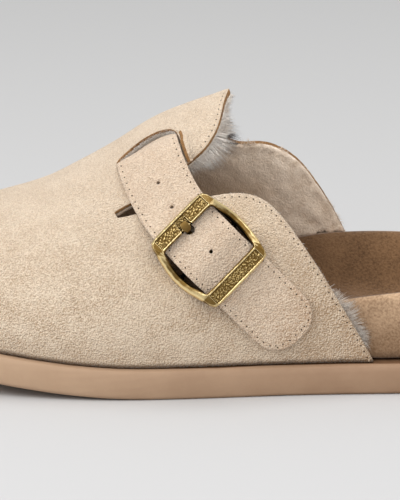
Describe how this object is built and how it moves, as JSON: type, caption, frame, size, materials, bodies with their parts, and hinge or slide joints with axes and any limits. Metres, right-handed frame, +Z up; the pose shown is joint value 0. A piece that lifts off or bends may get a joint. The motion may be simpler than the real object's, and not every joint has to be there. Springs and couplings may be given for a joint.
{
  "type": "clog slipper",
  "caption": "Left clog slipper: hollow suede upper with an open back, a strap from a slot through a brass pin buckle, a contoured footbed with a heel cup and a flat rubber outsole.",
  "frame": {"origin": "middle of the sole's outline on the floor", "axes": "toe towards -X, heel towards +X, lateral (outer) side towards -Y, medial side towards +Y, +Z up"},
  "size_m": [0.262, 0.1011, 0.1047],
  "materials": {
    "outsole_rubber": "matt moulded sole",
    "footbed_suede": "suede wrapped",
    "upper_suede": "napped suede, shearling lined",
    "strap_suede": "napped suede",
    "buckle_brass": "antique, hammered",
    "prong_brass": "antique",
    "tab_suede": "napped suede"
  },
  "bodies": {
    "root": {"outsole": "outsole_rubber", "footbed": "footbed_suede", "upper": "upper_suede", "instep_strap": "strap_suede", "buckle_frame": "buckle_brass", "buckle_prong": "prong_brass", "buckle_tab": "tab_suede"}
  },
  "joints": []
}
